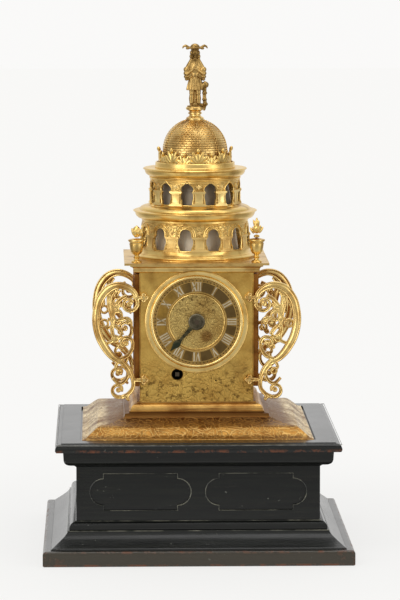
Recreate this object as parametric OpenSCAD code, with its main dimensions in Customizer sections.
// Tower table clock: a gilt tower case with two arcaded galleries, a dome and a figure, on an
// ebonised wooden base. Millimetres, Z up, front towards -Y, origin under the middle of the base.

/* [Wooden base] */
// Half width of the foot slab
slab_half = 137; // [132:0.5:142]
// Height of the foot slab
slab_h = 13.5; // [11:0.5:16]
// Radius of the slab's worn upper edge
slab_edge_r = 3; // [1.5:0.5:4]
// Half width of the box body
body_half = 107.5; // [106:0.5:109]
// Height of the box body
body_h = 48; // [44:1:54]
// Height of the moulding between slab and body
foot_moulding_h = 22.5; // [20:0.5:26]
// Height of the cornice over the body
wood_cornice_h = 15; // [13:0.5:18]
// Half width of the top board
board_half = 126; // [123:0.5:129]
// Thickness of the top board
board_h = 8; // [7:0.5:10]
// Wall of the wooden box
wood_wall = 14; // [10:1:16]
// Depth of the sunk cartouches in the front
cartouche_depth = 1.5; // [1:0.25:2.5]
// Distance of each cartouche from the middle
cartouche_x = 51; // [50:0.5:52]
// Half width of a cartouche's rectangle
cartouche_half_w = 32.7; // [30:0.5:34]
// Height of a cartouche
cartouche_h = 33; // [28:1:36]
// Radius of the round bulge at each end of a cartouche
cartouche_bulge_r = 12; // [9:0.5:13]

/* [Gilt base] */
// Half width of the engraved skirt
skirt_half = 102.4; // [100:0.2:104]
// Height of the skirt
skirt_h = 16; // [14:0.5:18]
// Depth of the rebate that the skirt sits in
skirt_seat = 2; // [1:0.5:3]
// Gap round the skirt in its rebate
skirt_gap = 1.5; // [0.5:0.5:2]
// Height of the stepped moulding under the case
step_h = 13; // [12:0.5:15]
// Wall of the cast mouldings
cast_wall = 2.4; // [1.8:0.2:3]

/* [Case] */
// Half width of the front and back plates
plate_half = 51; // [50:0.5:52]
// Height of the front and back plates
case_h = 116; // [114:1:120]
// Thickness of the front and back plates
plate_t = 2; // [1.5:0.1:2.5]
// Bevel on the upright edges of the plates
plate_bevel = 1.2; // [0.6:0.1:1.4]
// Side of the square corner posts
post_w = 7; // [6:0.5:8]
// Thickness of the side doors with their frames
door_t = 4.5; // [4:0.1:5]
// Height of the sill under each side door
door_sill = 13; // [11:0.5:15]
// Distance from a door's top edge to the case's top
door_head = 2; // [1.5:0.5:3]
// Radius of the hinge pins
hinge_pin_r = 1; // [0.8:0.1:1.2]
// Height of the cornice moulding round the case
case_cornice_h = 7.5; // [6.5:0.5:9]
// Half width of the square top plate
top_half = 64.4; // [63:0.2:66]
// Thickness of the top plate
top_t = 1.9; // [1.5:0.1:2.5]
// Thickness of the floor plate under the movement
floor_t = 2.5; // [2:0.5:3]

/* [Scroll brackets] */
// Thickness of the scroll brackets
bracket_t = 4; // [3:0.5:4.5]
// Thickness of the foliage inside the scrolls
foliage_t = 2.6; // [2:0.2:2.8]
// Width of the main band at its widest
band_w = 7.25; // [7:0.25:8.5]
// Radius of the bracket screws
screw_r = 1; // [0.8:0.1:1.2]

/* [Galleries and dome] */
// Openings round each gallery
openings = 12; // [12]
// Turn of the galleries, so that a pillar stands a little right of the middle
gallery_turn = 3.4; // [0:0.2:15]
// Outer radius at the foot of the lower gallery wall
lower_foot_r = 49.4; // [48.6:0.1:50]
// Outer radius at the top of the lower gallery wall
lower_head_r = 47.5; // [47:0.1:48.4]
// Height of the lower gallery wall
lower_wall_h = 25.5; // [25:0.5:27]
// Outer radius of the upper gallery wall
upper_r = 40.3; // [39.8:0.1:41]
// Height of the upper gallery wall
upper_wall_h = 22.4; // [22:0.2:24]
// Thickness of the gallery walls
gallery_t = 1.6; // [1.2:0.1:2]
// Height of the lower gallery's foot ring
foot_ring_h = 8.1; // [7:0.1:9]
// Height of the cornice between the galleries
lower_cornice_h = 14.8; // [14:0.2:16]
// Height of the cornice over the upper gallery
upper_cornice_h = 10; // [9:0.5:11]
// Outer radius of the dome
dome_r = 29; // [28:0.5:30]
// Straight height of the dome below its half sphere
dome_drum_h = 14.8; // [13:0.2:17]
// Thickness of the dome
dome_t = 1.5; // [1:0.1:2]
// Height of the plain band round the dome's foot
band_h = 5.3; // [4.5:0.1:6]
// Outer radius of the leaf cresting
crest_r = 33.9; // [33:0.1:34.5]
// Height of the leaf cresting
crest_h = 16.8; // [15:0.2:18]
// Leaves in the cresting
crest_leaves = 16; // [12:2:20]
// Height of the finial's turned pedestal
pedestal_h = 11; // [10:0.5:12]
// Height of the figure with its hat
figure_h = 57; // [52:1:60]

/* [Urns] */
// Distance of the urns from the middle, both ways
urn_off = 53.5; // [52:0.5:56]
// Radius of an urn's lip
urn_lip_r = 7; // [6:0.2:7.6]
// Height of an urn's bowl with its foot
urn_bowl_h = 21; // [19:0.5:23]
// Height of the left urn's bud
bud_h = 12.2; // [10:0.2:14]
// Height of the right urn's leafy flame
flame_h = 19.4; // [17:0.2:22]

/* [Dial] */
// Height of the dial's middle over the foot of the case
dial_up = 72; // [71:0.5:73]
// Outer radius of the bezel
bezel_r = 46.1; // [45:0.1:47]
// Inner radius of the bezel
bezel_in_r = 38.7; // [38:0.1:39.5]
// Inner radius of the chapter ring
chapter_in_r = 25.5; // [24:0.5:27]
// Thickness of the chapter ring
chapter_t = 1.2; // [0.8:0.1:1.6]
// Length of the hour hand from its centre
hand_len = 35; // [32:0.5:37]
// Angle of the hand at rest, clockwise from twelve
hand_angle = 222; // [0:1:359]
// Radius of the hand's round boss
hub_r = 7.4; // [6.5:0.1:8]
// Radius of the hour arbor
hour_arbor_r = 3; // [2.5:0.1:3.5]

/* [Movement] */
// Half width of the movement plates
frame_half = 42; // [41.5:0.1:42.5]
// Height of the movement plates
frame_h = 98; // [96:1:100]
// Distance of the outer movement plates from the middle plate
frame_depth = 43; // [43]
// Thickness of the movement plates
frame_t = 2; // [1.6:0.1:2]
// Distance of the winding arbors from the middle
winding_x = 17.3; // [17:0.1:18]
// Height of the winding arbors over the foot of the case
winding_up = 24.6; // [24:0.1:25]
// Radius of the winding holes in the case
winding_hole_r = 4.8; // [4:0.1:5.2]
// Teeth of the great wheels
great_teeth = 56; // [56]
// Module of the great wheels
great_m = 0.72; // [0.7:0.01:0.74]
// Teeth of the second wheels
second_teeth = 56; // [56]
// Module of the second wheels
second_m = 0.6; // [0.58:0.01:0.62]
// Teeth of the third wheels
third_teeth = 48; // [48]
// Module of the third wheels
third_m = 0.55; // [0.54:0.01:0.57]
// Leaves of every small pinion
leaves = 8; // [8]
// Teeth of the hour wheel and of the count wheel
hour_teeth = 72; // [72]
// Teeth of the pinions that drive them
drive_teeth = 24; // [24]
// Thickness of the wheels
wheel_t = 1.5; // [1.2:0.1:1.6]
// Teeth of the crown wheel
crown_teeth = 15; // [15]
// Radius of the crown wheel
crown_r = 10.5; // [10:0.1:11]
// Radius of the spring barrels
barrel_r = 15; // [14:0.5:15.5]
// Radius of the balance
balance_r = 18; // [16:0.5:19]
// Radius of the wheel arbors
arbor_r = 1.3; // [1.1:0.1:1.5]
// Radius of the pivots
pivot_r = 0.8; // [0.7:0.05:0.9]
// Running clearance round pivots and pins
run_gap = 0.05; // [0.03:0.01:0.08]

/* [Bell and hammer] */
// Radius of the bell's mouth
bell_r = 39.5; // [38.5:0.5:40.5]
// Height of the bell
bell_h = 75; // [73:1:77]
// Thickness of the bell
bell_t = 2.4; // [2:0.2:3]
// Height of the bell's mouth over the top plate
bell_up = 6.6; // [6:0.2:8]
// Radius of the hammer's head
hammer_r = 4.5; // [4:0.25:5]
// Gap between the resting hammer and the bell
hammer_gap = 0.8; // [0.5:0.1:1.5]

/* [Hidden] */
$fn = 96;
eps = 0.01;
seat_gap = 0.3;

// Heights of the stack, from the table up
foot_moulding_z = slab_h;
body_z = foot_moulding_z + foot_moulding_h;
wood_cornice_z = body_z + body_h;
board_z = wood_cornice_z + wood_cornice_h;
board_top = board_z + board_h;
skirt_z = board_top - skirt_seat;
step_z = skirt_z + skirt_h;
case_z = step_z + step_h;
case_top = case_z + case_h;
top_z = case_top + case_cornice_h;
roof_z = top_z + top_t;
lower_wall_z = roof_z + foot_ring_h;
lower_cornice_z = lower_wall_z + lower_wall_h;
upper_wall_z = lower_cornice_z + lower_cornice_h;
upper_cornice_z = upper_wall_z + upper_wall_h;
deck_z = upper_cornice_z + upper_cornice_h;
dome_mid_z = deck_z + dome_drum_h;
dome_top = dome_mid_z + dome_r;
figure_z = dome_top + pedestal_h;

// Places across the case
post_in = plate_half - post_w;
plate_front = plate_half + plate_t;
door_x0 = plate_half + 0.2;
door_z0 = case_z + door_sill;
door_z1 = case_top - door_head;
knuckle_r = hinge_pin_r + 1.2;
hinge_x = door_x0 + knuckle_r + 0.3;
hinge_y = plate_half - 2.8;
dial_z = case_z + dial_up;
winding_z = case_z + winding_up;

// Profile curves, drawn from p to q in n steps
// Leaves p level and arrives at q upright
function level_first(p, q, n = 6) =
    [for (i = [0:n]) let (t = 90 * i / n)
        [q.x + (p.x - q.x) * (1 - sin(t)), p.y + (q.y - p.y) * (1 - cos(t))]];
// Leaves p upright and arrives at q level
function upright_first(p, q, n = 6) =
    [for (i = [0:n]) let (t = 90 * i / n)
        [q.x + (p.x - q.x) * cos(t), p.y + (q.y - p.y) * sin(t)]];
// A bead that bulges from p to q, both at about one radius
function bead(p, q, out, n = 8) =
    [for (i = [0:n]) let (t = i / n) [p.x + (q.x - p.x) * t + out * sin(180 * t), p.y + (q.y - p.y) * t]];
// Moves a list of offsets to a corner
function placed(pts, x, z) = [for (p = pts) [p.x + x, p.y + z]];

// A square block with mitred corners whose half width follows a profile of [half width, height]
module mitred(profile) {
    n = len(profile);
    run = 3 * max([for (p = profile) p.x]);
    outline = concat(profile, [for (i = [n - 1:-1:0]) [-profile[i].x, profile[i].y]]);
    intersection() {
        rotate([90, 0, 0]) linear_extrude(run, center = true) polygon(outline);
        rotate([90, 0, 90]) linear_extrude(run, center = true) polygon(outline);
    }
}

// A square hollow moulding: a profile outside and a plain square opening inside
module square_ring(profile, inner_half) {
    z0 = profile[0].y;
    z1 = profile[len(profile) - 1].y;
    difference() {
        mitred(profile);
        translate([0, 0, (z0 + z1) / 2]) cube([2 * inner_half, 2 * inner_half, z1 - z0 + 1], center = true);
    }
}

// Extrudes an X-Z drawing along Y, from y0 to y1
module along_y(y0, y1) {
    translate([0, y1, 0]) rotate([90, 0, 0]) linear_extrude(y1 - y0) children();
}

// A round bar along Y at [x, z], from y0 to y1
module bar_y(at, r, y0, y1) {
    translate([at.x, y1, at.y]) rotate([90, 0, 0]) cylinder(r = r, h = y1 - y0);
}

// Mirrors a piece made for the right side onto the left
module side(s) {
    mirror([s < 0 ? 1 : 0, 0, 0]) children();
}

// Wooden base
module plinth_foot_slab() {
    edge = upright_first([slab_half, slab_h - slab_edge_r], [slab_half - slab_edge_r, slab_h]);
    color("#1d1b16") mitred(concat([[slab_half - 1, 0], [slab_half, 1]], edge));
}

module plinth_base_moulding() {
    // Offsets from the box body outwards
    cove = level_first([23, 0], [9.5, 0.63 * foot_moulding_h]);
    quarter = upright_first([6.5, 0.67 * foot_moulding_h], [0.9, foot_moulding_h]);
    color("#1f1c17")
        square_ring(placed(concat(cove, [[8, 0.66 * foot_moulding_h]], quarter), body_half, foot_moulding_z),
            body_half - wood_wall);
}

module cartouche() {
    square([2 * cartouche_half_w, cartouche_h], center = true);
    for (s = [-1, 1]) translate([s * cartouche_half_w, 0]) circle(r = cartouche_bulge_r);
}

module plinth_body() {
    mid_z = body_z + body_h / 2 + 1.4;
    color("#1b1a15") difference() {
        translate([-body_half, -body_half, body_z]) cube([2 * body_half, 2 * body_half, body_h]);
        translate([0, 0, body_z + body_h / 2])
            cube([2 * (body_half - wood_wall), 2 * (body_half - wood_wall), body_h + 1], center = true);
        for (s = [-1, 1])
            along_y(-body_half - 1, -body_half + cartouche_depth)
                translate([s * cartouche_x, mid_z]) cartouche();
    }
}

module plinth_cornice() {
    bed = level_first([2.2, 0.11 * wood_cornice_h], [10.7, 0.44 * wood_cornice_h]);
    fascia = [[11, 0.45 * wood_cornice_h], [11.5, wood_cornice_h]];
    color("#1f1c17")
        square_ring(placed(concat([[0, 0]], bed, fascia), body_half, wood_cornice_z), body_half - wood_wall);
}

module plinth_top_board() {
    nose = upright_first([board_half, board_z + 2], [board_half - 4.6, board_top - 0.7]);
    fillet = [[board_half - 5.2, board_top - 0.7], [board_half - 5.6, board_top]];
    rebate = skirt_half + skirt_gap;
    color("#1d1b16") difference() {
        mitred(concat([[board_half - 1, board_z]], nose, fillet));
        translate([-rebate, -rebate, skirt_z]) cube([2 * rebate, 2 * rebate, board_h]);
        // Opening under the clock, for the screws that hold it from below
        translate([0, 0, board_z]) cube([120, 120, 3 * board_h], center = true);
    }
}

// Gilt base
module base_skirt() {
    inner = placed([[-10, -1], [-10, 2.5], [-17.7, 8], [-36.2, skirt_h - cast_wall]], skirt_half, skirt_z);
    lip = [[0, 0], [0, 2.4]];
    cove = level_first([-0.6, 2.6], [-17.7, 10.7], 5);
    rise = upright_first([-17.7, 10.7], [-36.2, skirt_h], 5);
    color("#b98a3c") difference() {
        mitred(placed(concat(lip, cove, rise), skirt_half, skirt_z));
        mitred(inner);
        translate([0, 0, step_z]) cube([2 * plate_half, 2 * plate_half, skirt_h], center = true);
    }
}

module base_step_moulding() {
    low_cove = level_first([15.2, 0], [13.3, 0.29 * step_h], 4);
    undercut = [[9.4, 0.33 * step_h], [9.4, 0.42 * step_h]];
    high = upright_first([8.2, 0.45 * step_h], [2.2, 0.92 * step_h], 5);
    color("#a97b33")
        square_ring(placed(concat(low_cove, undercut, high, [[2.2, step_h]]), plate_half, step_z),
            plate_half - 8);
}

module floor_plate() {
    // Lies inside the stepped moulding and carries the movement
    half = plate_half - 8 - seat_gap;
    color("#8f7a45") difference() {
        translate([-half, -half, case_z - floor_t]) cube([2 * half, 2 * half, floor_t]);
        for (sx = [-1, 1], sy = [-1, 1])
            translate([sx * (half - 6), sy * (half - 6), case_z - floor_t - 1])
                cylinder(r = 1.6, h = floor_t + 2);
    }
}

// Case
module case_frame() {
    header_h = 6;
    rail_t = 3.5;
    tie_h = 4;
    color("#96763a") {
        for (sx = [-1, 1], sy = [-1, 1])
            translate([sx > 0 ? post_in : -plate_half, sy > 0 ? post_in : -plate_half, case_z])
                cube([post_w, post_w, case_h]);
        for (s = [-1, 1]) {
            x0 = s > 0 ? plate_half - rail_t : -plate_half;
            translate([x0, -post_in - eps, case_z]) cube([rail_t, 2 * post_in + 2 * eps, door_sill]);
            translate([x0, -post_in - eps, case_top - header_h])
                cube([rail_t, 2 * post_in + 2 * eps, header_h]);
            side(s) for (z = hinge_spots) {
                fixed_knuckle(z - knuckle_h);
                fixed_knuckle(z + knuckle_h);
            }
        }
        // Ties behind the front and back plates
        for (s = [-1, 1], z = [case_z, case_top - tie_h])
            translate([-post_in - eps, s > 0 ? plate_half - rail_t : -plate_half, z])
                cube([2 * post_in + 2 * eps, rail_t, tie_h]);
    }
}

knuckle_h = 7;
hinge_spots = [door_z0 + 20, door_z1 - 20];

module fixed_knuckle(z) {
    h = knuckle_h - 0.4;
    translate([0, 0, z - h / 2]) difference() {
        union() {
            translate([hinge_x, hinge_y, 0]) cylinder(r = knuckle_r, h = h);
            translate([plate_half - eps, hinge_y - 1.6, 0]) cube([hinge_x - plate_half, 3.2, h]);
        }
        translate([hinge_x, hinge_y, -1]) cylinder(r = hinge_pin_r + run_gap, h = h + 2);
    }
}

module door_knuckle(z) {
    h = knuckle_h - 0.4;
    web_y0 = hinge_y - knuckle_r - 1.2;
    translate([0, 0, z - h / 2]) difference() {
        union() {
            translate([hinge_x, hinge_y, 0]) cylinder(r = knuckle_r, h = h);
            translate([hinge_x - 0.9, web_y0, 0]) cube([1.8, hinge_y - web_y0, h]);
        }
        translate([hinge_x, hinge_y, -1]) cylinder(r = hinge_pin_r + run_gap, h = h + 2);
    }
}

module door_hinge_pins() {
    reach = 1.5 * knuckle_h;
    color("#6b5a34") for (s = [-1, 1], z = hinge_spots)
        translate([s * hinge_x, hinge_y, z - reach]) cylinder(r = hinge_pin_r, h = 2 * reach);
}

// A side door: a thin panel with a raised moulded frame
module side_door() {
    y0 = -plate_half + 4;
    y1 = hinge_y - knuckle_r - 0.6;
    w = y1 - y0;
    h = door_z1 - door_z0;
    panel_t = 2;
    rim = 7;
    difference() {
        translate([door_x0, y0, door_z0]) cube([door_t, w, h]);
        translate([door_x0 + panel_t, y0 + rim, door_z0 + rim]) cube([door_t, w - 2 * rim, h - 2 * rim]);
        // Bevels along the upright outer edges
        for (y = [y0, y1])
            translate([door_x0 + door_t, y, door_z0 - 1]) rotate([0, 0, 45])
                translate([-0.9, -0.9, 0]) cube([1.8, 1.8, h + 2]);
    }
    for (z = hinge_spots) door_knuckle(z);
}

module side_door_left() {
    color("#a4672f") side(-1) side_door();
}

module side_door_right() {
    color("#a4672f") side(1) side_door();
}

module cover_plate() {
    // Plate with bevelled upright edges, its outer face towards -Y
    outline = [
        [-plate_half, -plate_half], [-plate_half, -plate_front + plate_bevel],
        [-plate_half + plate_bevel, -plate_front], [plate_half - plate_bevel, -plate_front],
        [plate_half, -plate_front + plate_bevel], [plate_half, -plate_half]
    ];
    translate([0, 0, case_z]) linear_extrude(case_h) polygon(outline);
}

module front_plate() {
    color("#b3a04c") difference() {
        cover_plate();
        bar_y([-winding_x, winding_z], winding_hole_r, -plate_front - 1, -plate_half + 1);
        bar_y([0, dial_z], hour_arbor_r + 0.4, -plate_front - 1, -plate_half + 1);
        bar_y([winding_x, case_z + 19], 0.8, -plate_front - 1, -plate_half + 1);
        for (s = [-1, 1], z = tab_heights)
            bar_y([s * tab_x, z], screw_r, -plate_front - 1, -plate_half + 1);
    }
    // Small stud low on the plate
    color("#6d5a30") bar_y([4.6, case_z + 7.6], 1.6, -plate_front - 1.4, -plate_front + eps);
}

module back_plate() {
    color("#b3a04c") difference() {
        mirror([0, 1, 0]) cover_plate();
        bar_y([winding_x, winding_z], winding_hole_r, plate_half - 1, plate_front + 1);
        for (s = [-1, 1], z = tab_heights)
            bar_y([s * tab_x, z], screw_r, plate_half - 1, plate_front + 1);
    }
}

module case_cornice() {
    rise = level_first([2.6, 0], [5.2, 0.25 * case_cornice_h], 4);
    cyma = upright_first([5.2, 0.3 * case_cornice_h], [7.3, 0.75 * case_cornice_h], 4);
    color("#a8823a") difference() {
        square_ring(placed(concat(rise, cyma, [[8.2, 0.8 * case_cornice_h], [8.2, case_cornice_h]]),
            plate_half, case_top), post_in + 1);
        // Notch that the top of the bezel reaches into
        bar_y([0, dial_z], bezel_r + seat_gap, -top_half, -plate_front + eps);
    }
}

module top_plate() {
    color("#c9b98a") difference() {
        translate([-top_half, -top_half, top_z]) cube([2 * top_half, 2 * top_half, top_t]);
        // Slot for the hammer's arm, and holes for the bell stand and the urns
        translate([hammer_slot[0], hammer_y - 3, top_z - 1])
            cube([hammer_slot[1] - hammer_slot[0], 6, top_t + 2]);
        translate([0, 0, top_z - 1]) cylinder(r = stand_r + run_gap, h = top_t + 2);
        for (sx = [-1, 1], sy = [-1, 1])
            translate([sx * urn_off, sy * urn_off, top_z - 1])
                cylinder(r = urn_screw_r + run_gap, h = top_t + 2);
    }
}

// Scroll brackets, drawn for the right side in [distance from the middle, height over the case foot]
// Smooth curve through control points of [x, z, width]
function blend_at(a, b, c, d, t) =
    0.5 * (2 * b + (c - a) * t + (2 * a - 5 * b + 4 * c - d) * t * t + (3 * b - a - 3 * c + d) * t * t * t);
function smooth(pts, n = 5) = let (m = len(pts) - 1) concat(
    [for (i = [0:m - 1], j = [0:n - 1])
        blend_at(pts[max(i - 1, 0)], pts[i], pts[i + 1], pts[min(i + 2, m)], j / n)],
    [pts[m]]);
// Spiral of [x, z, width] round an eye, from radius r0 at angle a0 to radius r1 at angle a1
function spiral(eye, r0, r1, a0, a1, w0, w1, n = 16) =
    [for (i = [0:n]) let (t = i / n, a = a0 + (a1 - a0) * t, r = r0 + (r1 - r0) * t)
        [eye.x + r * cos(a), eye.y + r * sin(a), w0 + (w1 - w0) * t]];

module band(pts) {
    n = len(pts) - 1;
    dir = [for (i = [0:n])
        let (d = pts[min(i + 1, n)] - pts[max(i - 1, 0)], l = norm([d.x, d.y])) [d.x, d.y] / l];
    left = [for (i = [0:n]) [pts[i].x - dir[i].y * pts[i].z / 2, pts[i].y + dir[i].x * pts[i].z / 2]];
    right = [for (i = [n:-1:0]) [pts[i].x + dir[i].y * pts[i].z / 2, pts[i].y - dir[i].x * pts[i].z / 2]];
    polygon(concat(left, right));
}

module disc(at, r) {
    translate([at.x, at.y]) circle(r = r);
}

tab_x = 47.2;
tab_heights = [case_z + 94, case_z + 20];

// The big C scroll, the S scroll under it and their volutes
module bracket_bands() {
    upper_eye = [60, 88.4];
    lower_eye = [63.2, 53.2];
    foot_eye = [70, 11];
    hook_eye = [69, 28];
    big = [
        [52.6, 88.5, 3.4], [54.6, 97, 4.6], [60.6, 102.6, 5.8], [69.6, 105, band_w - 1], [79, 101.6, band_w],
        [86.2, 92.6, band_w], [89.2, 81, band_w], [89.4, 70, band_w], [86.4, 58, band_w],
        [80.2, 47, 7], [73.6, 39.8, 6], [65.6, 35.4, 5], [60, 28.5, 4.4], [57, 20, 4],
        [57.2, 12.6, 3.6], [61.6, 7, 3.6], [68, 4.2, 3.4]
    ];
    band(smooth(big));
    band(spiral(upper_eye, 7.4, 3.3, 180, 520, 3.4, 2.2, 20));
    disc(upper_eye, 2.4);
    band(spiral(foot_eye, 6.6, 3.1, -106, 200, 3.4, 2.2, 18));
    disc(foot_eye, 2.2);
    // C scroll that springs from the foot of the big one
    band(concat(smooth([[69, 38.4, 3], [61.4, 42, 3.4], [57.4, 48.4, 3.4]], 4),
        spiral(lower_eye, 6.2, 3.6, 190, -60, 3.2, 2.6, 14)));
    disc(lower_eye, 2.6);
    // Hook under the junction, with its eye and free tail
    band(smooth([[66.8, 33.6, 3.2], [61.6, 28, 3.2], [63.2, 20.4, 3], [69, 16.6, 2.8], [75.2, 21.6, 2.2]]));
    disc(hook_eye, 3.4);
    band(smooth([[69, 28, 2.4], [72.4, 31.6, 2.6], [70.4, 36.4, 3]]));
    // Leaf under the foot
    band(smooth([[58, 11, 3.4], [62.4, 5.2, 3.6], [60.6, 1.6, 2]]));
}

// An oval loop round a place, half as wide inside as outside
module loop(at, half_w, half_h) {
    translate(at) scale([half_w, half_h]) difference() {
        circle(r = 1);
        circle(r = 0.5);
    }
}

// Leafwork inside the big scroll
module bracket_leaves() {
    branch_eye = [61.4, 72];
    small_eye = [72.6, 57];
    // Upright leaf, and the leaves that cross it under the upper volute
    band(smooth([[73.4, 100, 3], [77.4, 95, 5], [77.2, 86.6, 5.6], [75.8, 78.6, 4.6], [74.8, 70, 4]]));
    band(smooth([[62.4, 95.6, 3], [68, 92.4, 3.6], [72.4, 87, 3.8], [75.4, 81, 3]]));
    band(smooth([[67.2, 88.4, 1.8], [70.4, 84.6, 3], [70.6, 80, 3]]));
    loop([70.2, 77.8], 4.6, 6);
    // Leaf that curls off the outer band
    band(smooth([[85.4, 94.4, 3.6], [82.8, 90, 3], [84.6, 86, 2.6], [87.4, 85.4, 2.4]]));
    // Branch with its volute near the case
    band(smooth([[71, 73, 3.4], [66.6, 74.6, 3.6], [61.6, 75.4, 2.8], [58.4, 72.4, 2.2], [58.2, 66.6, 1.8]]));
    disc(branch_eye, 2.4);
    // Ring beside the outer band
    loop([82.4, 70.8], 4.4, 4.4);
    band(smooth([[76, 74.4, 3.4], [79.4, 74.6, 2.6]], 3));
    // Stem, slanting leaf and the small volute that ties them to the lower scroll
    band(smooth([[75, 71, 3.8], [75.6, 65, 3.6], [74.2, 58.6, 3.4]]));
    band(smooth([[74, 69.6, 3], [69.4, 65.8, 3.6], [66, 60.4, 2.8]]));
    disc(small_eye, 3.7);
    band(smooth([[70, 57.4, 3.4], [66.8, 60.2, 3]], 3));
    band(smooth([[74.6, 55.4, 3], [79.4, 53.2, 2.8], [84, 53.6, 3.4]]));
    disc([68, 49.8], 2.3);
}

// Trefoil ends that are screwed to the plate
module bracket_tabs() {
    for (z = tab_heights) translate([tab_x, z - case_z]) {
        difference() {
            union() {
                for (a = [90, 180, 270]) translate([2.3 * cos(a), 2.3 * sin(a)]) circle(r = 2);
                circle(r = 2.2);
                translate([0, -1.5]) square([9.6, 3]);
            }
            circle(r = screw_r + run_gap);
        }
    }
}

module scroll_bracket() {
    translate([0, 0, case_z]) {
        along_y(-plate_front - bracket_t, -plate_front) {
            bracket_bands();
            bracket_tabs();
        }
        along_y(-plate_front - (bracket_t + foliage_t) / 2, -plate_front - (bracket_t - foliage_t) / 2)
            bracket_leaves();
    }
}

module scroll_bracket_front_left() {
    color("#b98f3e") side(-1) scroll_bracket();
}

module scroll_bracket_front_right() {
    color("#b98f3e") side(1) scroll_bracket();
}

module scroll_bracket_rear_left() {
    color("#b98f3e") mirror([0, 1, 0]) side(-1) scroll_bracket();
}

module scroll_bracket_rear_right() {
    color("#b98f3e") mirror([0, 1, 0]) side(1) scroll_bracket();
}

module bracket_screws() {
    color("#5a4b2b") for (rear = [0, 1], s = [-1, 1], z = tab_heights)
        mirror([0, rear, 0]) {
            bar_y([s * tab_x, z], screw_r - run_gap, -plate_front - bracket_t, -plate_half);
            bar_y([s * tab_x, z], 1.7, -plate_front - bracket_t - 0.8, -plate_front - bracket_t);
        }
}

// Urns
urn_screw_r = 1.2;
urn_bowl = [
    [0, 0], [4.5, 0], [4.5, 1.2], [3.2, 2.2], [2.1, 3.8], [2.1, 6.4], [3.5, 8], [5.4, 12],
    [6.3, 16.6], [urn_lip_r, urn_bowl_h - 0.8], [urn_lip_r, urn_bowl_h]
];

module urn(top) {
    rotate_extrude() polygon(concat(urn_bowl, placed(top, 0, urn_bowl_h)));
    translate([0, 0, -top_t]) cylinder(r = urn_screw_r, h = top_t + 1);
}

module urn_left() {
    bud = [[4.2, 0.8], [3.4, 2.4], [4.3, 4.6], [4.1, 0.62 * bud_h], [2.2, 0.86 * bud_h], [0, bud_h]];
    color("#a9853f") translate([-urn_off, -urn_off, roof_z]) urn(bud);
}

module urn_right() {
    flame = [
        [4.2, 0.8], [3.4, 2.4], [4.6, 5], [5.8, 0.42 * flame_h], [5, 0.56 * flame_h],
        [4.4, 0.66 * flame_h], [3.4, 0.8 * flame_h], [1.8, 0.93 * flame_h], [0, flame_h]
    ];
    color("#a9853f") translate([urn_off, -urn_off, roof_z]) {
        urn(flame);
        // Leaves that stand off the flame
        for (i = [0:4]) rotate([0, 0, 72 * i + 20])
            translate([4.6, 0, urn_bowl_h + 6 + (i % 2) * 3]) rotate([0, 22, 0])
                cylinder(r1 = 1.7, r2 = 0.6, h = 6);
    }
}

// Galleries
// Stands a drawing of [across, height] on the outside of the gallery and cuts it inwards
module cut_round(r) {
    for (i = [0:openings - 1])
        rotate([0, 0, gallery_turn + 360 * (i + 0.5) / openings - 90])
            translate([r - 8, 0, 0]) rotate([90, 0, 90]) linear_extrude(16) children();
}

module lower_gallery_base_ring() {
    r = lower_foot_r;
    inner = r - 5.4;
    torus = bead([r + 4, 0.6], [r + 3.6, 0.42 * foot_ring_h], 1.1);
    upper = level_first([r + 3, 0.5 * foot_ring_h], [r + 0.6, foot_ring_h], 5);
    color("#b4883a") translate([0, 0, roof_z])
        rotate_extrude() polygon(concat([[inner, 0], [r + 4, 0]], torus, upper, [[inner, foot_ring_h]]));
}

module lower_gallery_wall() {
    foot = lower_foot_r;
    head = lower_head_r;
    color("#c39a45") translate([0, 0, lower_wall_z]) difference() {
        rotate_extrude()
            polygon([[foot - gallery_t, 0], [foot, 0],
                [head, lower_wall_h], [head - gallery_t, lower_wall_h]]);
        cut_round(foot) {
            translate([0, 15.6]) circle(r = 5.5);
            translate([0, 8.8]) circle(r = 7.2);
            polygon([[-4.6, 1.2], [4.6, 1.2], [6.6, 6], [-6.6, 6]]);
        }
    }
}

module lower_gallery_cornice() {
    // Hollow moulding that carries the upper gallery; its throat clears the bell
    head = lower_head_r;
    inner = upper_r - gallery_t - 1.2;
    lip = head + 8.8;
    cavetto = level_first([head + 0.6, 1.4], [lip - 2, 0.5 * lower_cornice_h], 6);
    nose = bead([lip - 0.6, 0.54 * lower_cornice_h], [lip - 2, 0.63 * lower_cornice_h], 0.9, 6);
    slope = upright_first([lip - 6, 0.66 * lower_cornice_h], [upper_r + 2.2, 0.92 * lower_cornice_h], 5);
    color("#b98c3c") translate([0, 0, lower_cornice_z]) rotate_extrude() polygon(concat(
        [[head - gallery_t, 0], [head + 0.6, 0]], cavetto, nose, slope,
        [[upper_r + 0.6, lower_cornice_h], [inner, lower_cornice_h], [inner, lower_cornice_h - 2.4],
            [head - gallery_t, 4]]));
}

module upper_gallery_wall() {
    r = upper_r;
    color("#c39a45") translate([0, 0, upper_wall_z]) difference() {
        rotate_extrude() translate([r - gallery_t, 0]) square([gallery_t, upper_wall_h]);
        cut_round(r) {
            // Two lobes and a small point over them
            translate([0, 15.1]) circle(r = 5.4);
            translate([0, 8.6]) circle(r = 5.6);
            polygon([[-2.8, 19.6], [-1, 20.6], [0, upper_wall_h - 0.7], [1, 20.6], [2.8, 19.6]]);
            polygon([[-4.2, 0.8], [4.2, 0.8], [4.6, 5.4], [-4.6, 5.4]]);
        }
    }
}

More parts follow.
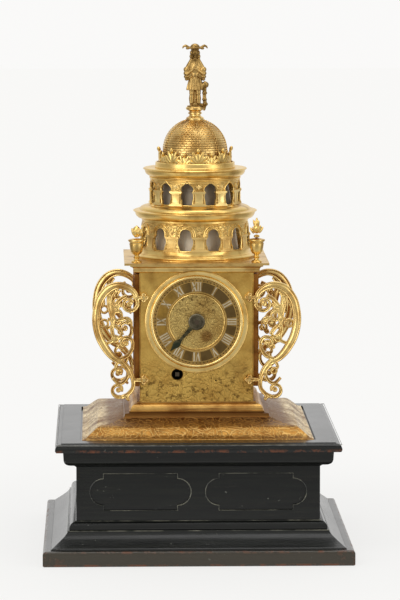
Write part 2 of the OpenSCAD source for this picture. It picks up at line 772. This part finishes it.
module upper_gallery_cornice() {
    r = upper_r;
    lip = r + 6.7;
    inner = dome_r - 4;
    color("#b98c3c") translate([0, 0, upper_cornice_z]) rotate_extrude() polygon(concat(
        [[r - gallery_t, 0], [r + 0.2, 0]],
        bead([r + 0.2, 0.2], [r + 0.2, 2.4], 0.9, 6),
        level_first([r + 0.2, 2.8], [lip - 1.6, 0.8 * upper_cornice_h], 6),
        bead([lip - 0.8, 0.84 * upper_cornice_h], [lip - 1, upper_cornice_h], 0.8, 6),
        [[inner, upper_cornice_h], [inner, upper_cornice_h - 2], [r - gallery_t, upper_cornice_h - 2]]));
}

// Dome
module dome_band() {
    inner = crest_r + seat_gap;
    color("#bd9443") translate([0, 0, deck_z]) rotate_extrude() polygon([
        [inner, 0], [inner + 2.2, 0], [inner + 2.2, 1], [inner + 1.8, 1.4], [inner + 1.6, band_h - 0.6],
        [inner + 1.1, band_h], [inner, band_h]
    ]);
}

module dome_cresting() {
    leaf_w = 2 * PI * crest_r / crest_leaves;
    step = 360 / crest_leaves;
    color("#c09a48") translate([0, 0, deck_z]) difference() {
        rotate_extrude() translate([crest_r - 1, 0]) square([1, crest_h]);
        // Notches between the leaf tips
        for (i = [0:crest_leaves - 1]) rotate([0, 0, step * (i + 0.5) + gallery_turn])
            translate([crest_r - 4, 0, 0])
            rotate([90, 0, 90]) linear_extrude(8) {
                polygon([[0, crest_h - 6.6], [0.24 * leaf_w, crest_h - 3.4], [0.36 * leaf_w, crest_h - 2.6],
                    [0.5 * leaf_w, crest_h + 1], [-0.5 * leaf_w, crest_h + 1],
                    [-0.36 * leaf_w, crest_h - 2.6],
                    [-0.24 * leaf_w, crest_h - 3.4]]);
                translate([0, 0.44 * crest_h]) circle(r = 0.11 * leaf_w);
            }
        for (i = [0:crest_leaves - 1]) rotate([0, 0, step * i + gallery_turn]) translate([crest_r - 4, 0, 0])
            rotate([90, 0, 90]) linear_extrude(8)
                polygon([[-1.1, 6.4], [1.1, 6.4], [1.5, 8], [0, 10.6], [-1.5, 8]]);
    }
}

module dome() {
    outer = dome_r;
    inner = dome_r - dome_t;
    color("#b58d3f") translate([0, 0, deck_z]) difference() {
        union() {
            cylinder(r = outer, h = dome_drum_h);
            translate([0, 0, dome_drum_h]) sphere(r = outer);
        }
        translate([0, 0, -1]) cylinder(r = inner, h = dome_drum_h + 1);
        translate([0, 0, dome_drum_h]) sphere(r = inner);
        translate([0, 0, -2 * outer]) cylinder(r = 2 * outer, h = 2 * outer);
        translate([0, 0, dome_drum_h]) cylinder(r = finial_screw_r + run_gap, h = 2 * outer);
    }
}

// Finial
finial_screw_r = 1.5;

module finial_pedestal() {
    foot = 1.2;
    sag = dome_r - sqrt(dome_r * dome_r - 7.2 * 7.2);
    color("#b08d44") translate([0, 0, dome_top]) difference() {
        rotate_extrude() polygon(concat(
            [[0, -sag], [7.2, -sag], [7.2, foot], [5.6, foot + 0.8]],
            level_first([5.2, foot + 1], [4.1, 0.34 * pedestal_h], 4),
            [[4.1, 0.42 * pedestal_h], [5.9, 0.5 * pedestal_h], [5.9, 0.58 * pedestal_h],
                [4.9, 0.62 * pedestal_h], [4.9, 0.68 * pedestal_h], [7.4, 0.76 * pedestal_h],
                [7.4, 0.92 * pedestal_h], [6.6, pedestal_h], [0, pedestal_h]]));
        // Hollow underside that fits the dome
        translate([0, 0, -dome_r]) sphere(r = dome_r + eps);
    }
    color("#b08d44") translate([0, 0, dome_top - dome_t - 2]) cylinder(r = finial_screw_r, h = dome_t + 3);
}

// A limb that runs from ball a to ball b, each given as [x, y, z, radius]
module limb(a, b) {
    hull() {
        translate([a[0], a[1], a[2]]) sphere(r = a[3], $fn = 14);
        translate([b[0], b[1], b[2]]) sphere(r = b[3], $fn = 14);
    }
}

module finial_figure() {
    // Standing man in a broad low hat and a belted tunic, hands folded, beside a knotted post
    k = figure_h / 57;
    color("#8d7a4c") translate([0, 0, figure_z]) scale(k) {
        for (s = [-1, 1]) {
            // Boot, shin and thigh
            limb([s * 3.4, -0.4, 1.2, 1.1], [s * 3.3, -3, 1, 0.9]);
            limb([s * 3.4, -0.2, 1.4, 1.1], [s * 3.3, 0.4, 7.4, 1.75]);
            limb([s * 3.3, 0.4, 7.4, 1.75], [s * 3, -0.2, 12, 1.5]);
            limb([s * 3, -0.2, 12, 1.6], [s * 2.6, 0, 19, 2.2]);
            // Shoulder, puffed sleeve and forearm
            limb([s * 3.2, 0, 41, 2], [s * 5.8, 0, 36, 2.6]);
            limb([s * 7.1, 0, 33.6, 3.3], [s * 7.7, -0.4, 26, 2.4]);
            limb([s * 7.2, -2, 29, 1.6], [s * 1.6, -4.5, 33.6, 1.3]);
            // Hair to the shoulders
            limb([s * 3, 0.5, 48.6, 1.5], [s * 3.5, 0.3, 42.8, 1.5]);
            // Turned-up end of the brim
            limb([s * 5, 0, 52.8, 1.2], [s * 8.6, 0, 54.8, 1.1]);
            limb([s * 8.6, 0, 54.8, 1.1], [s * 10.8, -0.1, 53.2, 0.8]);
        }
        // Tunic below and above the belt
        hull() {
            translate([0, 0, 16]) scale([1, 0.8, 1]) cylinder(r = 7, h = 1.4, $fn = 24);
            translate([0, 0, 25.4]) scale([1, 0.8, 1]) cylinder(r = 5, h = 1, $fn = 24);
        }
        hull() {
            translate([0, 0, 25.4]) scale([1, 0.8, 1]) cylinder(r = 5, h = 1, $fn = 24);
            translate([-2.6, 0, 35]) sphere(r = 3.5, $fn = 16);
            translate([2.6, 0, 35]) sphere(r = 3.5, $fn = 16);
        }
        // Folded hands
        limb([0, -4.9, 33.2, 1.3], [0, -4.9, 36, 1.1]);
        // Neck and head
        limb([0, 0, 38, 2.4], [0, -0.2, 44.6, 1.7]);
        limb([0, -1.1, 46.4, 2], [0, -0.3, 49, 3.2]);
        // Hat
        hull() {
            translate([0, 0, 52]) scale([1, 0.78, 1]) cylinder(r = 6, h = 1.2, $fn = 28);
            translate([0, 0, 52.6]) cylinder(r = 4.4, h = 1.4, $fn = 24);
        }
        translate([0, 0, 53]) scale([1, 0.9, 1]) cylinder(r1 = 4.4, r2 = 3, h = 4, $fn = 24);
        // Knotted post with its curled head, at his left side
        limb([9.6, 0.6, 2, 1.6], [9, 0.6, 9, 1.3]);
        limb([9, 0.6, 9, 1.4], [9.2, 0.4, 19, 1.5]);
        limb([8.4, -0.6, 18.8, 1.8], [10.6, -0.8, 20.2, 1.9]);
        for (z = [2.2, 6.4, 12.2]) translate([9.3, 0.4, z]) sphere(r = 1.8, $fn = 14);
        // Ground that ties feet and post
        limb([5.6, 0, 1, 1], [9.4, 0.5, 1, 1]);
        cylinder(r = 7.2, h = 1.2, $fn = 24);
    }
}

// Dial. A profile of [radius, height in front of the plate], turned about the dial's axis
module dial_turned(pts) {
    translate([0, -plate_front, dial_z]) rotate([90, 0, 0]) rotate_extrude() polygon(pts);
}

module dial_bezel() {
    color("#c79c48") dial_turned(concat(
        [[bezel_in_r, 0], [bezel_r, 0], [bezel_r, 1]],
        bead([bezel_r - 0.4, 1.2], [bezel_r - 3.6, 2.2], 1, 6),
        [[bezel_r - 4, 1.8]],
        bead([bezel_r - 4.4, 1.8], [bezel_in_r + 0.6, 1.9], 0.6, 6),
        [[bezel_in_r, 1.6]]));
}

module chapter_ring() {
    color("#3b3528") dial_turned([
        [chapter_in_r, 0], [bezel_in_r - seat_gap, 0], [bezel_in_r - seat_gap, chapter_t],
        [chapter_in_r + 0.6, chapter_t], [chapter_in_r, chapter_t - 0.4]
    ]);
}

module dial_centre() {
    r = chapter_in_r - seat_gap;
    color("#a58238") dial_turned([
        [hour_arbor_r + 0.4, 0], [r, 0], [r, 0.9], [r - 0.8, 0.9], [r - 1.2, 0.7], [hour_arbor_r + 0.4, 0.7]
    ]);
}

hand_lift = 2;
hand_t = 1.2;
hand_bore_r = hour_arbor_r - 0.8;

module hour_hand() {
    blade = hand_len - 6;
    color("#1c2026") translate([0, -plate_front - hand_lift, dial_z]) rotate([90, 0, 0])
        rotate([0, 0, -hand_angle]) {
            difference() {
                cylinder(r = hub_r, h = hand_t + 0.8);
                translate([0, 0, -1]) cylinder(r = hand_bore_r + run_gap, h = hand_t + 3);
            }
            // Tapered arm with a leaf-shaped head and a long point
            linear_extrude(hand_t) difference() {
                union() {
                    polygon(concat(
                        [[-1.7, hub_r - 1], [1.7, hub_r - 1], [1.1, blade - 9]],
                        [for (t = [0:30:180])
                            [3.4 * sin(t) * (1 - 0.25 * cos(t)) + 0.9, blade - 4.6 - 4.4 * cos(t)]],
                        [[0.3, hand_len], [-0.3, hand_len]],
                        [for (t = [180:-30:0])
                            [-3.4 * sin(t) * (1 - 0.25 * cos(t)) - 0.9, blade - 4.6 - 4.4 * cos(t)]],
                        [[-1.1, blade - 9]]));
                    circle(r = hub_r - 0.5);
                }
                circle(r = hub_r - 1);
            }
        }
}

module hand_collet() {
    // Slotted nut that keeps the hand on its arbor
    lift = hand_lift + hand_t + 0.8;
    color("#2a2d31") translate([0, -plate_front - lift, dial_z]) rotate([90, 0, 0]) difference() {
        cylinder(r = hand_bore_r + 1.8, h = 1.2);
        translate([0, 0, -1]) cylinder(r = hand_bore_r + run_gap, h = 4);
        for (a = [0, 90]) rotate([0, 0, a + 20]) translate([-6, -0.4, 0.6]) cube([12, 0.8, 2]);
    }
}

// Gears. Places are [x, z] and angles are seen from the front, anticlockwise from +X
hour_at = [0, dial_z];
great_at = [-winding_x, winding_z];
going_barrel_at = [19, winding_z];
great_d = great_m * (great_teeth + leaves) / 2;
second_d = second_m * (second_teeth + leaves) / 2;
third_d = third_m * (third_teeth + leaves) / 2;
second_dir = 70;
third_dir = 120;
crown_dir = 75;
function step_to(from, d, dir) = from + d * [cos(dir), sin(dir)];
second_at = step_to(great_at, great_d, second_dir);
third_at = step_to(second_at, second_d, third_dir);
crown_at = step_to(third_at, third_d, crown_dir);
hour_dir = atan2(hour_at.y - great_at.y, hour_at.x - great_at.x);
hour_m = 2 * norm(hour_at - great_at) / (hour_teeth + drive_teeth);

// Angle of a tooth on the follower, when the driver has a tooth at angle a and lies in direction dir
function meshed(a, dir, driver, follower) = dir + 180 + 180 / follower - (a - dir) * driver / follower;
second_phase = meshed(0, second_dir, great_teeth, leaves);
third_phase = meshed(second_phase, third_dir, second_teeth, leaves);
crown_phase = meshed(third_phase, crown_dir, third_teeth, leaves);
hour_phase = meshed(0, hour_dir, drive_teeth, hour_teeth);

// One tooth as [radius, angle] corners, half the tooth's width at the pitch circle being h
function tooth(m, n, h, add) = let (r = m * n / 2)
    [[r - 1.25 * m, -1.25 * h], [r, -h], [r + add * m, -0.42 * h],
        [r + add * m, 0.42 * h], [r, h], [r - 1.25 * m, 1.25 * h]];

// A toothed disc of module m with n teeth, one of them at angle a
module toothed(m, n, a, thick = 0.4, add = 0.85) {
    corners = tooth(m, n, 180 * thick / n, add);
    polygon([for (i = [0:n - 1], c = corners) let (t = a + 360 * i / n + c[1]) c[0] * [cos(t), sin(t)]]);
}

// A wheel with crossings between its hub and its rim
module wheel(at, m, n, a, y0, spokes = 4, hub = 4) {
    rim_r = m * n / 2 - 1.25 * m - 2;
    along_y(y0, y0 + wheel_t) translate(at) difference() {
        toothed(m, n, a);
        difference() {
            circle(r = rim_r);
            circle(r = hub);
            for (i = [0:spokes - 1])
                rotate(360 * i / spokes + 30) translate([0, -0.9]) square([rim_r + 1, 1.8]);
        }
    }
}

module pinion(at, m, n, a, y0, y1) {
    along_y(y0, y1) translate(at) toothed(m, n, a, 0.32, 0.75);
}

// An arbor with a thin pivot at each end, running in holes whose outer faces are at y0 and y1
module arbor(at, y0, y1) {
    shoulder = frame_t + run_gap;
    bar_y(at, arbor_r, y0 + shoulder, y1 - shoulder);
    bar_y(at, pivot_r, y0, y1);
}

// Depths of the going train, from the front plate back. The strike train is its mirror image
front_y = -frame_depth - frame_t / 2;
middle_y = frame_t / 2;
great_y = -frame_depth + 4.6;
drum_y0 = -frame_depth + 9;
drum_y1 = -8;
second_y = -5.2;
third_y = -12;
crown_y0 = -26;
crown_y1 = -19;
verge_y = crown_y0 - 1.3;
bridge_y = -17;
bridge_t = 2;
motion_y = -(frame_depth + plate_half) / 2 - 0.6;
post_at = [38, winding_up - 17.6, 88];
square_half = 1.8;

module plate_holes(winding, wheels) {
    bar_y(winding, arbor_r + 0.7 + run_gap, front_y - 1, middle_y + 1);
    for (at = wheels) bar_y(at, pivot_r + run_gap, front_y - 1, middle_y + 1);
    for (s = [-1, 1], z = [post_at[1], post_at[2]])
        bar_y([s * post_at[0], case_z + z], pivot_r + 0.4, front_y - 1, middle_y + 1);
}

module movement_plate(y) {
    translate([-frame_half, y - frame_t / 2, case_z]) cube([2 * frame_half, frame_t, frame_h]);
}

module movement_front_plate() {
    color("#8d7c4c") difference() {
        movement_plate(-frame_depth);
        plate_holes(great_at, [second_at, third_at]);
        bar_y(hour_at, hour_arbor_r - 1 + run_gap, front_y - 1, -frame_depth + frame_t);
        bar_y(crown_at, crown_r - 3, front_y - 1, -frame_depth + frame_t);
    }
    // Arm that holds the lower end of the verge
    potence_z = crown_at.y - crown_r - 6.4;
    y0 = -frame_depth + frame_t / 2;
    color("#8d7c4c") difference() {
        union() {
            translate([crown_at.x - 1.6, y0, potence_z]) cube([3.2, verge_y - y0, 2.4]);
            translate([crown_at.x, verge_y, potence_z]) cylinder(r = 2, h = 2.4);
        }
        translate([crown_at.x, verge_y, potence_z - 1]) cylinder(r = pivot_r + run_gap, h = 5);
    }
}

module movement_middle_plate() {
    color("#8d7c4c") difference() {
        movement_plate(0);
        for (s = [-1, 1]) {
            bar_y([s * winding_x, winding_z], arbor_r + 0.7 + run_gap, -3, 3);
            for (at = [second_at, third_at, crown_at])
                bar_y([s * at.x, at.y], pivot_r + run_gap, -3, 3);
            for (z = [post_at[1], post_at[2]])
                bar_y([s * post_at[0], case_z + z], pivot_r + 0.4, -3, 3);
        }
        bar_y(going_barrel_at, barrel_arbor_r - 0.6, -3, 3);
        bar_y(hammer_at, pivot_r + run_gap, -3, 3);
    }
    // Bridge in front of the plate, for the front bearing of the crown wheel
    top = crown_at.y + 9;
    color("#8d7c4c") difference() {
        union() {
            translate([crown_at.x - 3, bridge_y, crown_at.y - 2.6])
                cube([6, bridge_t, top - crown_at.y + 2.6]);
            translate([crown_at.x - 3, bridge_y, top - 2.4]) cube([6, -bridge_y - frame_t / 2, 2.4]);
        }
        bar_y(crown_at, pivot_r + run_gap + 0.3, bridge_y - 1, bridge_y + bridge_t + 1);
    }
}

module movement_back_plate() {
    color("#8d7c4c") mirror([0, 1, 0]) difference() {
        movement_plate(-frame_depth);
        mirror([1, 0, 0]) plate_holes(great_at, [second_at, third_at, crown_at]);
        bar_y(hammer_at, pivot_r + run_gap, front_y - 1, -frame_depth + frame_t);
        bar_y(hour_at, stud_r - 1, front_y - 1, -frame_depth + frame_t);
    }
    // Stud that the count wheel turns on
    color("#6d6f70") {
        bar_y(hour_at, stud_r, -front_y, -motion_y + wheel_t + 0.6);
        bar_y(hour_at, stud_r - 1, -front_y - frame_t, -front_y + 1);
    }
}

stud_r = 2.4;
barrel_arbor_r = 2.4;

module movement_pillars() {
    y1 = -frame_depth + frame_t / 2;
    color("#7d6d3f") for (rear = [0, 1], s = [-1, 1], z = [post_at[1], post_at[2]]) mirror([0, rear, 0]) {
        at = [s * post_at[0], case_z + z];
        bar_y(at, 2.6, y1, -frame_t / 2);
        bar_y(at, pivot_r + 0.3, front_y, -run_gap);
        bar_y(at, 3.2, -22.5, -20.5);
    }
}

// Fusee radius at a depth y: widest next to the great wheel
fusee_r0 = 12.6;
fusee_r1 = 6;
function fusee_r(y) = fusee_r0 + (fusee_r1 - fusee_r0) * (y - drum_y0) / (drum_y1 - drum_y0);
line_r = 0.5;
line_y = -21;
line_pitch = 1.8;

module going_fusee() {
    turns = floor((drum_y1 - drum_y0 - 4) / line_pitch);
    color("#a88d4a") translate([great_at.x, 0, great_at.y]) rotate([90, 0, 0]) difference() {
        union() {
            rotate_extrude() polygon(concat(
                [[0, -drum_y1], [fusee_r1 + 1.4, -drum_y1], [fusee_r1 + 1.4, -drum_y1 + 1]],
                [for (i = [0:turns - 1], e = [[0, 0.5], [-0.9, 0.5 * line_pitch], [0, line_pitch - 0.5]])
                    let (y = drum_y1 - 1.6 - i * line_pitch - e[1]) [fusee_r(y) + e[0], -y]],
                [[fusee_r0, -drum_y0], [0, -drum_y0]]));
            // Arbor with its pivots and winding square
            translate([0, 0, -middle_y + frame_t + run_gap])
                cylinder(r = arbor_r + 1.4, h = frame_depth - 1.5 * frame_t - 2 * run_gap + middle_y);
            translate([0, 0, -middle_y]) cylinder(r = arbor_r + 0.7, h = -motion_y + middle_y + 1);
            translate([-square_half, -square_half, -motion_y])
                cube([2 * square_half, 2 * square_half, plate_front + motion_y - 0.5]);
        }
    }
}

module going_great_wheel() {
    color("#b0954f") difference() {
        wheel(great_at, great_m, great_teeth, 0, great_y, 5, 6);
        bar_y(great_at, arbor_r + 1.4 + eps, great_y - 1, great_y + wheel_t + 1);
    }
    color("#b0954f") difference() {
        along_y(motion_y, motion_y + wheel_t) translate(great_at) toothed(hour_m, drive_teeth, 0);
        bar_y(great_at, arbor_r + 0.7 + eps, motion_y - 1, motion_y + wheel_t + 1);
    }
}

module going_barrel() {
    cap = 1.2;
    turns = 9;
    color("#a58c46") difference() {
        union() {
            bar_y(going_barrel_at, barrel_r, drum_y0, drum_y1);
            bar_y(going_barrel_at, barrel_r + 0.9, drum_y0, drum_y0 + cap);
            bar_y(going_barrel_at, barrel_r + 0.9, drum_y1 - cap, drum_y1);
            // The line's turns on the drum
            translate([going_barrel_at.x, 0, going_barrel_at.y]) rotate([90, 0, 0]) rotate_extrude()
                for (i = [0:turns - 1])
                    translate([barrel_r, -line_y - i * 2.6 * line_r]) circle(r = line_r, $fn = 24);
        }
        bar_y(going_barrel_at, barrel_r - 1.2, drum_y0 + cap, drum_y1 - cap);
        bar_y(going_barrel_at, barrel_arbor_r + run_gap, drum_y0 - 1, drum_y1 + 1);
    }
}

module gut_line() {
    // Runs from the fusee to the barrel over the top of both, just clear of their faces
    r0 = fusee_r(line_y) + line_r + seat_gap;
    r1 = barrel_r + 2 * line_r + seat_gap;
    gap = going_barrel_at.x - great_at.x;
    tilt = asin((r1 - r0) / gap);
    reach = gap * cos(tilt);
    from = great_at + r0 * [-sin(tilt), cos(tilt)];
    color("#7a6038") translate([from.x, line_y, from.y]) rotate([0, 90 - tilt, 0])
        cylinder(r = line_r, h = reach, $fn = 24);
}

module second_wheel() {
    color("#b0954f") {
        arbor(second_at, front_y, middle_y);
        pinion(second_at, great_m, leaves, second_phase, great_y - 0.6, great_y + wheel_t + 0.6);
        wheel(second_at, second_m, second_teeth, second_phase, second_y);
    }
}

module third_wheel() {
    color("#b0954f") {
        arbor(third_at, front_y, middle_y);
        pinion(third_at, second_m, leaves, third_phase, second_y - 0.6, second_y + wheel_t + 0.6);
        wheel(third_at, third_m, third_teeth, third_phase, third_y);
    }
}

module crown_wheel() {
    step = 360 / crown_teeth;
    rim = 1;
    color("#b0954f") {
        difference() {
            bar_y(crown_at, crown_r, crown_y0, crown_y1);
            bar_y(crown_at, crown_r - rim, crown_y0 - 1, crown_y1 - 1.4);
            // Slanted gaps between the teeth
            for (i = [0:crown_teeth - 1]) translate([crown_at.x, crown_y0, crown_at.y])
                rotate([0, i * step + crown_turn, 0]) translate([0, 0, crown_r - 2 * rim])
                    linear_extrude(3 * rim)
                        polygon([[0.35, -1], [3.9, -1], [3.7, 0], [2.6, 1.6], [0.5, 1.8], [0.35, 0]]);
            for (a = [45:90:315]) bar_y(step_to(crown_at, 5.6, a), 2.6, crown_y1 - 3, crown_y1 + 1);
        }
        bar_y(crown_at, arbor_r, crown_y1 - eps, bridge_y - run_gap);
        bar_y(crown_at, pivot_r + 0.3, crown_y1, bridge_y + bridge_t + run_gap);
        bar_y(crown_at, arbor_r, bridge_y + bridge_t + run_gap, middle_y - frame_t - run_gap);
        bar_y(crown_at, pivot_r, bridge_y, middle_y);
        pinion(crown_at, third_m, leaves, crown_phase, third_y - 0.6, third_y + wheel_t + 0.6);
    }
}

// Turn of the crown wheel that leaves the verge free at rest
crown_turn = 4.4;
pallet_reach = 1.6;
pallet_spread = 50;
balance_z = case_z + frame_h + 6.5;

module verge_balance() {
    cock_z = balance_z + 4.5;
    foot_z = crown_at.y - crown_r - 6.4;
    color("#70747a") translate([crown_at.x, verge_y, 0]) {
        translate([0, 0, foot_z + 2.4 + run_gap]) cylinder(r = 0.95, h = cock_z - foot_z - 2.4 - 2 * run_gap);
        translate([0, 0, foot_z + 0.4]) cylinder(r = pivot_r - 0.1, h = cock_z + 1.6 - foot_z);
        for (s = [-1, 1]) rotate([0, 0, 90 + s * pallet_spread])
            translate([0, -0.25, crown_at.y + s * (crown_r - 0.5) - 1.2]) cube([pallet_reach, 0.5, 2.4]);
        translate([0, 0, balance_z]) {
            difference() {
                cylinder(r = balance_r, h = 2);
                translate([0, 0, -1]) cylinder(r = balance_r - 2.2, h = 4);
            }
            translate([-balance_r + 1, -1.1, 0.2]) cube([2 * balance_r - 2, 2.2, 1.6]);
            cylinder(r = 2.6, h = 2);
        }
    }
}

module balance_cock() {
    cock_z = balance_z + 4.5;
    foot_x = -frame_half + 1;
    foot_y = -frame_depth + frame_t / 2;
    foot_z = case_z + frame_h - 6;
    color("#b59a52") difference() {
        union() {
            translate([foot_x, foot_y, foot_z]) cube([5, 3.4, cock_z + 2 - foot_z]);
            translate([foot_x, foot_y, cock_z]) cube([crown_at.x - foot_x, 5, 2]);
            translate([crown_at.x - 2.5, foot_y, cock_z]) cube([5, verge_y - foot_y, 2]);
            translate([crown_at.x, verge_y, cock_z]) cylinder(r = 3.4, h = 2);
        }
        translate([crown_at.x, verge_y, cock_z - 1]) cylinder(r = pivot_r - 0.1 + run_gap, h = 4);
    }
}

module hour_wheel() {
    color("#b0954f") {
        difference() {
            union() {
                wheel(hour_at, hour_m, hour_teeth, hour_phase, motion_y, 6, 7);
                bar_y(hour_at, hour_arbor_r, -plate_front - hand_lift, front_y - run_gap);
                bar_y(hour_at, hour_arbor_r - 1, front_y - 1, front_y + frame_t);
                bar_y(hour_at, hand_bore_r, -plate_front - hand_lift - hand_t - 2, -plate_front);
            }
        }
    }
}

// Strike train, behind the middle plate. Its places mirror those of the going train
function other(at) = [-at.x, at.y];
module strike_side() {
    mirror([0, 1, 0]) mirror([1, 0, 0]) children();
}

module strike_barrel() {
    // Spring barrel with its great wheel, its winding arbor and the count wheel's pinion
    color("#a58c46") strike_side() {
        bar_y(great_at, barrel_r, drum_y0, drum_y1);
        bar_y(great_at, barrel_r + 0.9, drum_y0, drum_y0 + 1.2);
        bar_y(great_at, barrel_r + 0.9, drum_y1 - 1.2, drum_y1);
        wheel(great_at, great_m, great_teeth, 0, great_y, 5, 6);
        bar_y(great_at, arbor_r + 1.4, front_y + frame_t + run_gap, middle_y - frame_t - run_gap);
        bar_y(great_at, arbor_r + 0.7, motion_y, middle_y);
        along_y(motion_y, motion_y + wheel_t) translate(great_at) toothed(hour_m, drive_teeth, 0);
        translate([great_at.x - square_half, -plate_front + 0.5, great_at.y - square_half])
            cube([2 * square_half, plate_front - 0.5 + motion_y + eps, 2 * square_half]);
    }
}

pin_ring_r = 15;
pin_r = 0.8;
pin_reach = 2.2;

module strike_pin_wheel() {
    color("#b0954f") strike_side() {
        arbor(second_at, front_y, middle_y);
        pinion(second_at, great_m, leaves, second_phase, great_y - 0.6, great_y + wheel_t + 0.6);
        wheel(second_at, second_m, second_teeth, second_phase, second_y);
        // Pins that lift the hammer's tail
        for (i = [0:7])
            bar_y(step_to(second_at, pin_ring_r, 45 * i + 30), pin_r, second_y - pin_reach, second_y + eps);
    }
}

module strike_warning_wheel() {
    color("#b0954f") strike_side() {
        arbor(third_at, front_y, middle_y);
        pinion(third_at, second_m, leaves, third_phase, second_y - 0.6, second_y + wheel_t + 0.6);
        wheel(third_at, third_m, third_teeth, third_phase, third_y);
        bar_y(step_to(third_at, 11.5, 0), 0.7, third_y - 3, third_y + eps);
    }
}

module strike_fly() {
    fly_y = -30;
    fly_len = 12;
    fly_r = 13;
    color("#9aa0a4") strike_side() {
        arbor(crown_at, front_y, middle_y);
        pinion(crown_at, third_m, leaves, crown_phase, third_y - 0.6, third_y + wheel_t + 0.6);
        along_y(fly_y, fly_y + fly_len) translate(crown_at) square([2 * fly_r, 0.8], center = true);
        bar_y(crown_at, 2.2, fly_y + 1, fly_y + fly_len - 1);
    }
}

module count_wheel() {
    // Toothed wheel with a notched disc behind it: one notch after each hour's number of blows
    blows = 78;
    disc_r = 32;
    y0 = -motion_y - wheel_t;
    color("#b0954f") difference() {
        union() {
            mirror([0, 1, 0]) along_y(motion_y, motion_y + wheel_t)
                translate(hour_at) mirror([1, 0]) difference() {
                toothed(hour_m, hour_teeth, hour_phase);
                for (a = [30:60:330]) translate(16 * [cos(a), sin(a)]) circle(r = 6);
            }
            along_y(y0 - 1.2, y0 + eps) translate(hour_at) difference() {
                circle(r = disc_r);
                for (h = [1:12])
                    rotate(360 * h * (h + 1) / 2 / blows + 4)
                        translate([disc_r - 2.6, -0.9]) square([5, 1.8]);
                for (a = [30:60:330]) translate(16 * [-cos(a), sin(a)]) circle(r = 6);
            }
        }
        bar_y(hour_at, stud_r + run_gap, y0 - 3, y0 + 6);
    }
}

// Hammer, behind the middle plate on the left
hammer_at = [-16, case_z + 66];
hammer_y = 8;
bell_z = roof_z + bell_up;
blow_z = bell_z + 6;
function bell_in(z) = bell_r - 1.1 - bell_t - 0.155 * (z - bell_z - 6);
head_at = [-(sqrt(pow(bell_in(blow_z), 2) - hammer_y * hammer_y) - hammer_gap - hammer_r), blow_z];
lift_angle = 12;
hammer_slot = [
    hammer_at.x + (head_at.x - hammer_at.x) * (top_z - hammer_at.y) / (head_at.y - hammer_at.y) - 3,
    hammer_at.x + (head_at.x - hammer_at.x) * (top_z - hammer_at.y) / (head_at.y - hammer_at.y)
        + (top_z - hammer_at.y) * tan(lift_angle) + 4.5
];

// A straight flat lever between two places in the X-Z plane
module lever(a, b, w, y0, y1) {
    d = b - a;
    along_y(y0, y1) translate(a) rotate(atan2(d.y, d.x)) translate([0, -w / 2]) square([norm(d), w]);
}

module hammer() {
    pin_wheel_at = other(second_at);
    toward = (hammer_at - pin_wheel_at) / norm(hammer_at - pin_wheel_at);
    tail_at = pin_wheel_at + (pin_ring_r + pin_r + seat_gap) * toward;
    color("#5d6166") {
        lever(hammer_at, head_at, 2.6, hammer_y - 1.2, hammer_y + 1.2);
        lever(hammer_at, tail_at, 3, -second_y + 0.3, -second_y + pin_reach - 0.2);
        bar_y(hammer_at, 3.4, -second_y + 0.3, hammer_y + 1.2);
        mirror([0, 1, 0]) arbor(hammer_at, front_y, middle_y);
        translate([head_at.x, hammer_y, head_at.y]) sphere(r = hammer_r);
    }
}

// Bell
stand_r = 2.5;

module bell() {
    // Outer profile from the lip to the crown, as [radius, height] with the mouth at 0
    r = bell_r;
    h = bell_h;
    outer = [[r, 0], [r - 0.2, 1.4], [r - 1.1, 6], [r - 2.2, 14], [r - 3.2, 24], [r - 4.9, 36], [r - 6.9, 46],
        [r - 8.9, 56], [r - 10.6, 61.5], [r - 14.5, h - 8.2], [r - 20.5, h - 3.8], [r - 27.5, h - 1.2],
        [stand_r + 3, h]];
    inner = [for (i = [len(outer) - 1:-1:0]) let (p = outer[i], k = max(0, (i - 7) / 5))
        [max(p.x - bell_t * (1 - 0.75 * k), stand_r + run_gap), max(p.y - bell_t * k, 0)]];
    color("#7b6f5c") translate([0, 0, bell_z]) rotate_extrude()
        polygon(concat(outer, [[stand_r + run_gap, h], [stand_r + run_gap, h - bell_t]],
            [for (i = [1:len(inner) - 1]) inner[i]]));
}

module bell_stand() {
    // Post with a collar under the bell, and a nut over it
    top = bell_z + bell_h;
    color("#6f6a5c") {
        translate([0, 0, top_z - 4]) cylinder(r = stand_r, h = top - top_z + 9);
        translate([0, 0, roof_z]) cylinder(r = 6, h = 3);
        translate([0, 0, top - bell_t - 4.2]) cylinder(r = 4.4, h = 4);
        translate([0, 0, top]) cylinder(r = 4.4, h = 3.4, $fn = 6);
    }
}

plinth_foot_slab();
plinth_base_moulding();
plinth_body();
plinth_cornice();
plinth_top_board();
base_skirt();
base_step_moulding();
floor_plate();
case_frame();
front_plate();
back_plate();
side_door_left();
side_door_right();
door_hinge_pins();
case_cornice();
top_plate();
scroll_bracket_front_left();
scroll_bracket_front_right();
scroll_bracket_rear_left();
scroll_bracket_rear_right();
bracket_screws();
urn_left();
urn_right();
lower_gallery_base_ring();
lower_gallery_wall();
lower_gallery_cornice();
upper_gallery_wall();
upper_gallery_cornice();
dome_band();
dome_cresting();
dome();
finial_pedestal();
finial_figure();
dial_bezel();
chapter_ring();
dial_centre();
hour_hand();
hand_collet();
hour_wheel();
movement_front_plate();
movement_middle_plate();
movement_back_plate();
movement_pillars();
going_barrel();
going_fusee();
going_great_wheel();
gut_line();
second_wheel();
third_wheel();
crown_wheel();
verge_balance();
balance_cock();
strike_barrel();
strike_pin_wheel();
strike_warning_wheel();
strike_fly();
count_wheel();
hammer();
bell();
bell_stand();
